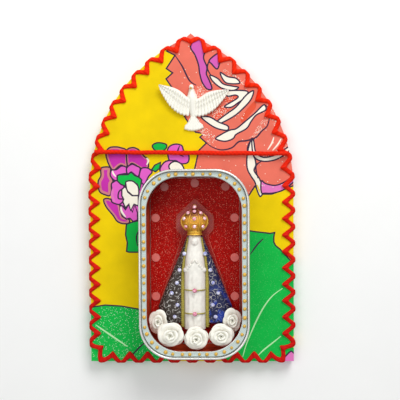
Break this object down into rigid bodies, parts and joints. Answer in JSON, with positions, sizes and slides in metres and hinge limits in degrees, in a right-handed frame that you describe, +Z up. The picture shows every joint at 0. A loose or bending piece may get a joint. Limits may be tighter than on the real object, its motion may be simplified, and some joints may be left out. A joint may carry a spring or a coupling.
{
  "type": "shrine",
  "caption": "Wall shrine: an arched board in printed cloth with a zigzag braid edge, and a lined tin niche with a crowned robed figure and paper roses, a white dove above.",
  "frame": {"origin": "middle of the board's flat back face, at half its height", "axes": "+Z up towards the arch's point, +Y out of the back into the wall, X to the viewer's right seen from the front"},
  "size_m": [0.1182, 0.0311, 0.1879],
  "materials": {
    "board_wood": "raw fibreboard",
    "printed_cotton": "floral printed cotton with glitter",
    "braid_red": "woven red trim",
    "tinplate": "bright tinplate",
    "ribbon_blue": "pale blue ribbon with gold beads",
    "wall_red": "dark red satin",
    "glitter_red": "red glitter sheet",
    "sequin_rose": "pale red sequin",
    "clear_acrylic": "clear acrylic sheet",
    "mantle_blue": "dark blue paint with silver filigree",
    "white_plaster": "white painted casting",
    "gold_paint": "gold paint and gold trim",
    "pale_crystal": "pale blue cut stone",
    "pink_crystal": "pink cut stone",
    "rose_paper": "white crepe paper",
    "dove_white": "white pearl casting"
  },
  "bodies": {
    "root": {"back_board": "board_wood", "printed_cloth": "printed_cotton", "zigzag_braid": "braid_red", "waist_cord": "braid_red", "can_body": "tinplate", "seamed_rim": "tinplate", "beaded_ribbon": "ribbon_blue", "wall_ribbon": "wall_red", "glitter_lining": "glitter_red", "sequin_1": "sequin_rose", "sequin_2": "sequin_rose", "sequin_3": "sequin_rose", "sequin_4": "sequin_rose", "sequin_5": "sequin_rose", "sequin_6": "sequin_rose", "sequin_7": "sequin_rose", "sequin_8": "sequin_rose", "sequin_9": "sequin_rose", "clear_plate": "clear_acrylic", "blue_mantle": "mantle_blue", "white_robe": "white_plaster", "gold_edging_left": "gold_paint", "gold_edging_right": "gold_paint", "gold_band_lower": "gold_paint", "gold_band_upper": "gold_paint", "crown": "gold_paint", "mantle_stone_left_1": "pale_crystal", "mantle_stone_left_2": "pale_crystal", "mantle_stone_left_3": "pale_crystal", "mantle_stone_left_4": "pale_crystal", "mantle_stone_left_5": "pale_crystal", "mantle_stone_left_6": "pale_crystal", "mantle_stone_right_1": "pale_crystal", "mantle_stone_right_2": "pale_crystal", "mantle_stone_right_3": "pale_crystal", "mantle_stone_right_4": "pale_crystal", "mantle_stone_right_5": "pale_crystal", "mantle_stone_right_6": "pale_crystal", "dress_stone_lower": "pink_crystal", "dress_stone_upper": "pink_crystal", "crown_stone_1": "pink_crystal", "crown_stone_2": "pink_crystal", "crown_stone_3": "pink_crystal", "crown_stone_4": "pink_crystal", "crown_stone_5": "pink_crystal", "crown_stone_6": "pink_crystal", "crown_stone_7": "pink_crystal", "crown_stone_8": "pink_crystal", "crown_stone_9": "pink_crystal", "crown_stone_top": "pink_crystal", "rose_outer_left": "rose_paper", "rose_inner_left": "rose_paper", "rose_middle": "rose_paper", "rose_inner_right": "rose_paper", "rose_outer_right": "rose_paper", "dove": "dove_white"}
  },
  "joints": []
}
